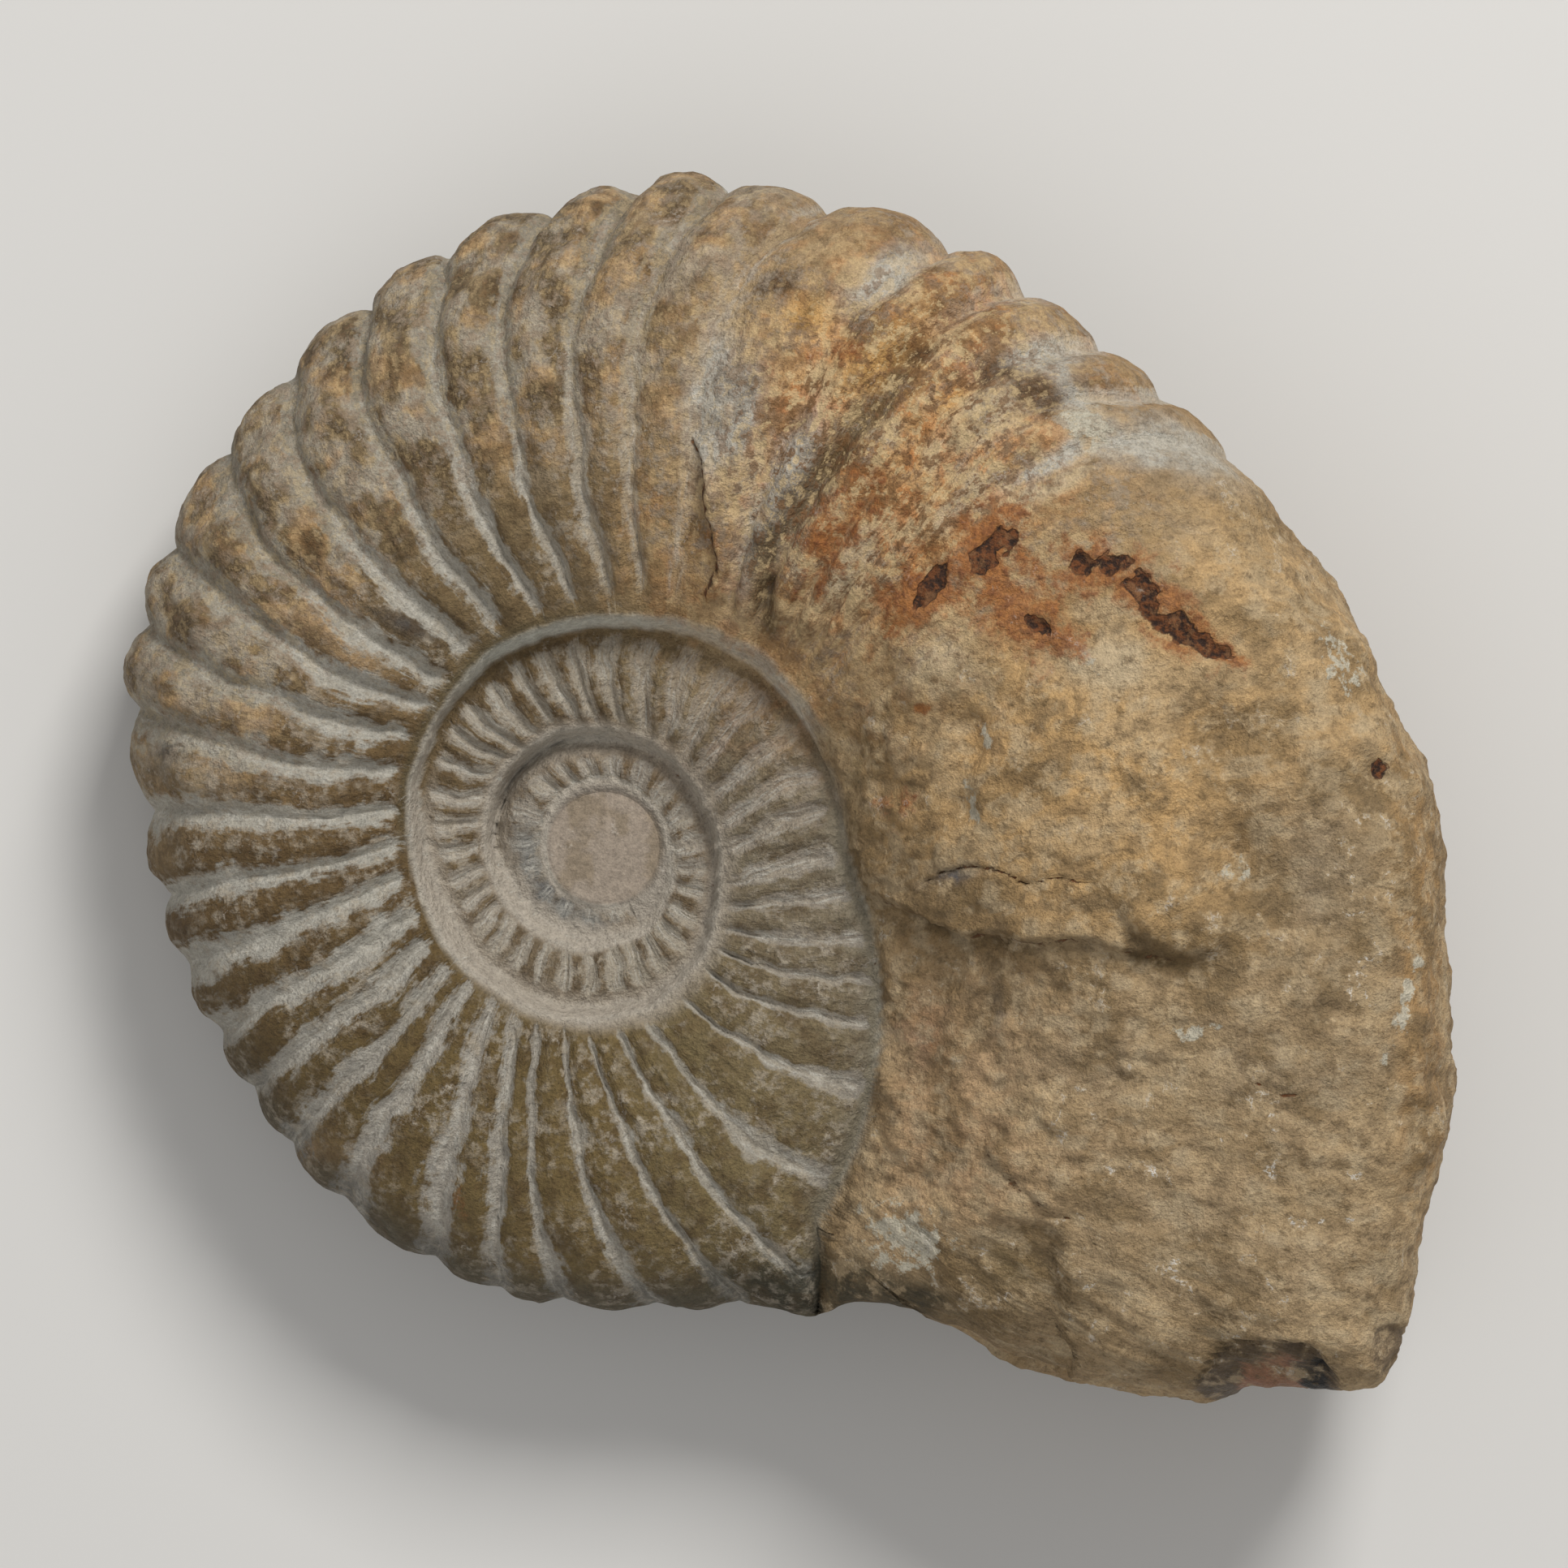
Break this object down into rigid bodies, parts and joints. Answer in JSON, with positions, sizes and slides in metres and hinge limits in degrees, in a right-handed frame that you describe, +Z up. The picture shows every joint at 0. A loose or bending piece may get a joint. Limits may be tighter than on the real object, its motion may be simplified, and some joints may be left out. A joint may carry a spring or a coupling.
{
  "type": "ammonite fossil",
  "caption": "Ribbed ammonite fossil of tan limestone, its coil opening into a broad block of rock that fills the old living chamber.",
  "frame": {"origin": "middle of the outline seen from above, at the height of the worn patches it rests on", "axes": "+Z up, out of the prepared flank; +X towards the thick mouth end; +Y towards the top of the coil, so the coil grows clockwise seen from +Z"},
  "size_m": [0.1646, 0.1514, 0.0609],
  "materials": {
    "fossil_limestone": "dry weathered limestone with olive-brown ribs, pale furrows and rusty ochre rock"
  },
  "bodies": {
    "root": {"ammonite_fossil": "fossil_limestone"}
  },
  "joints": []
}
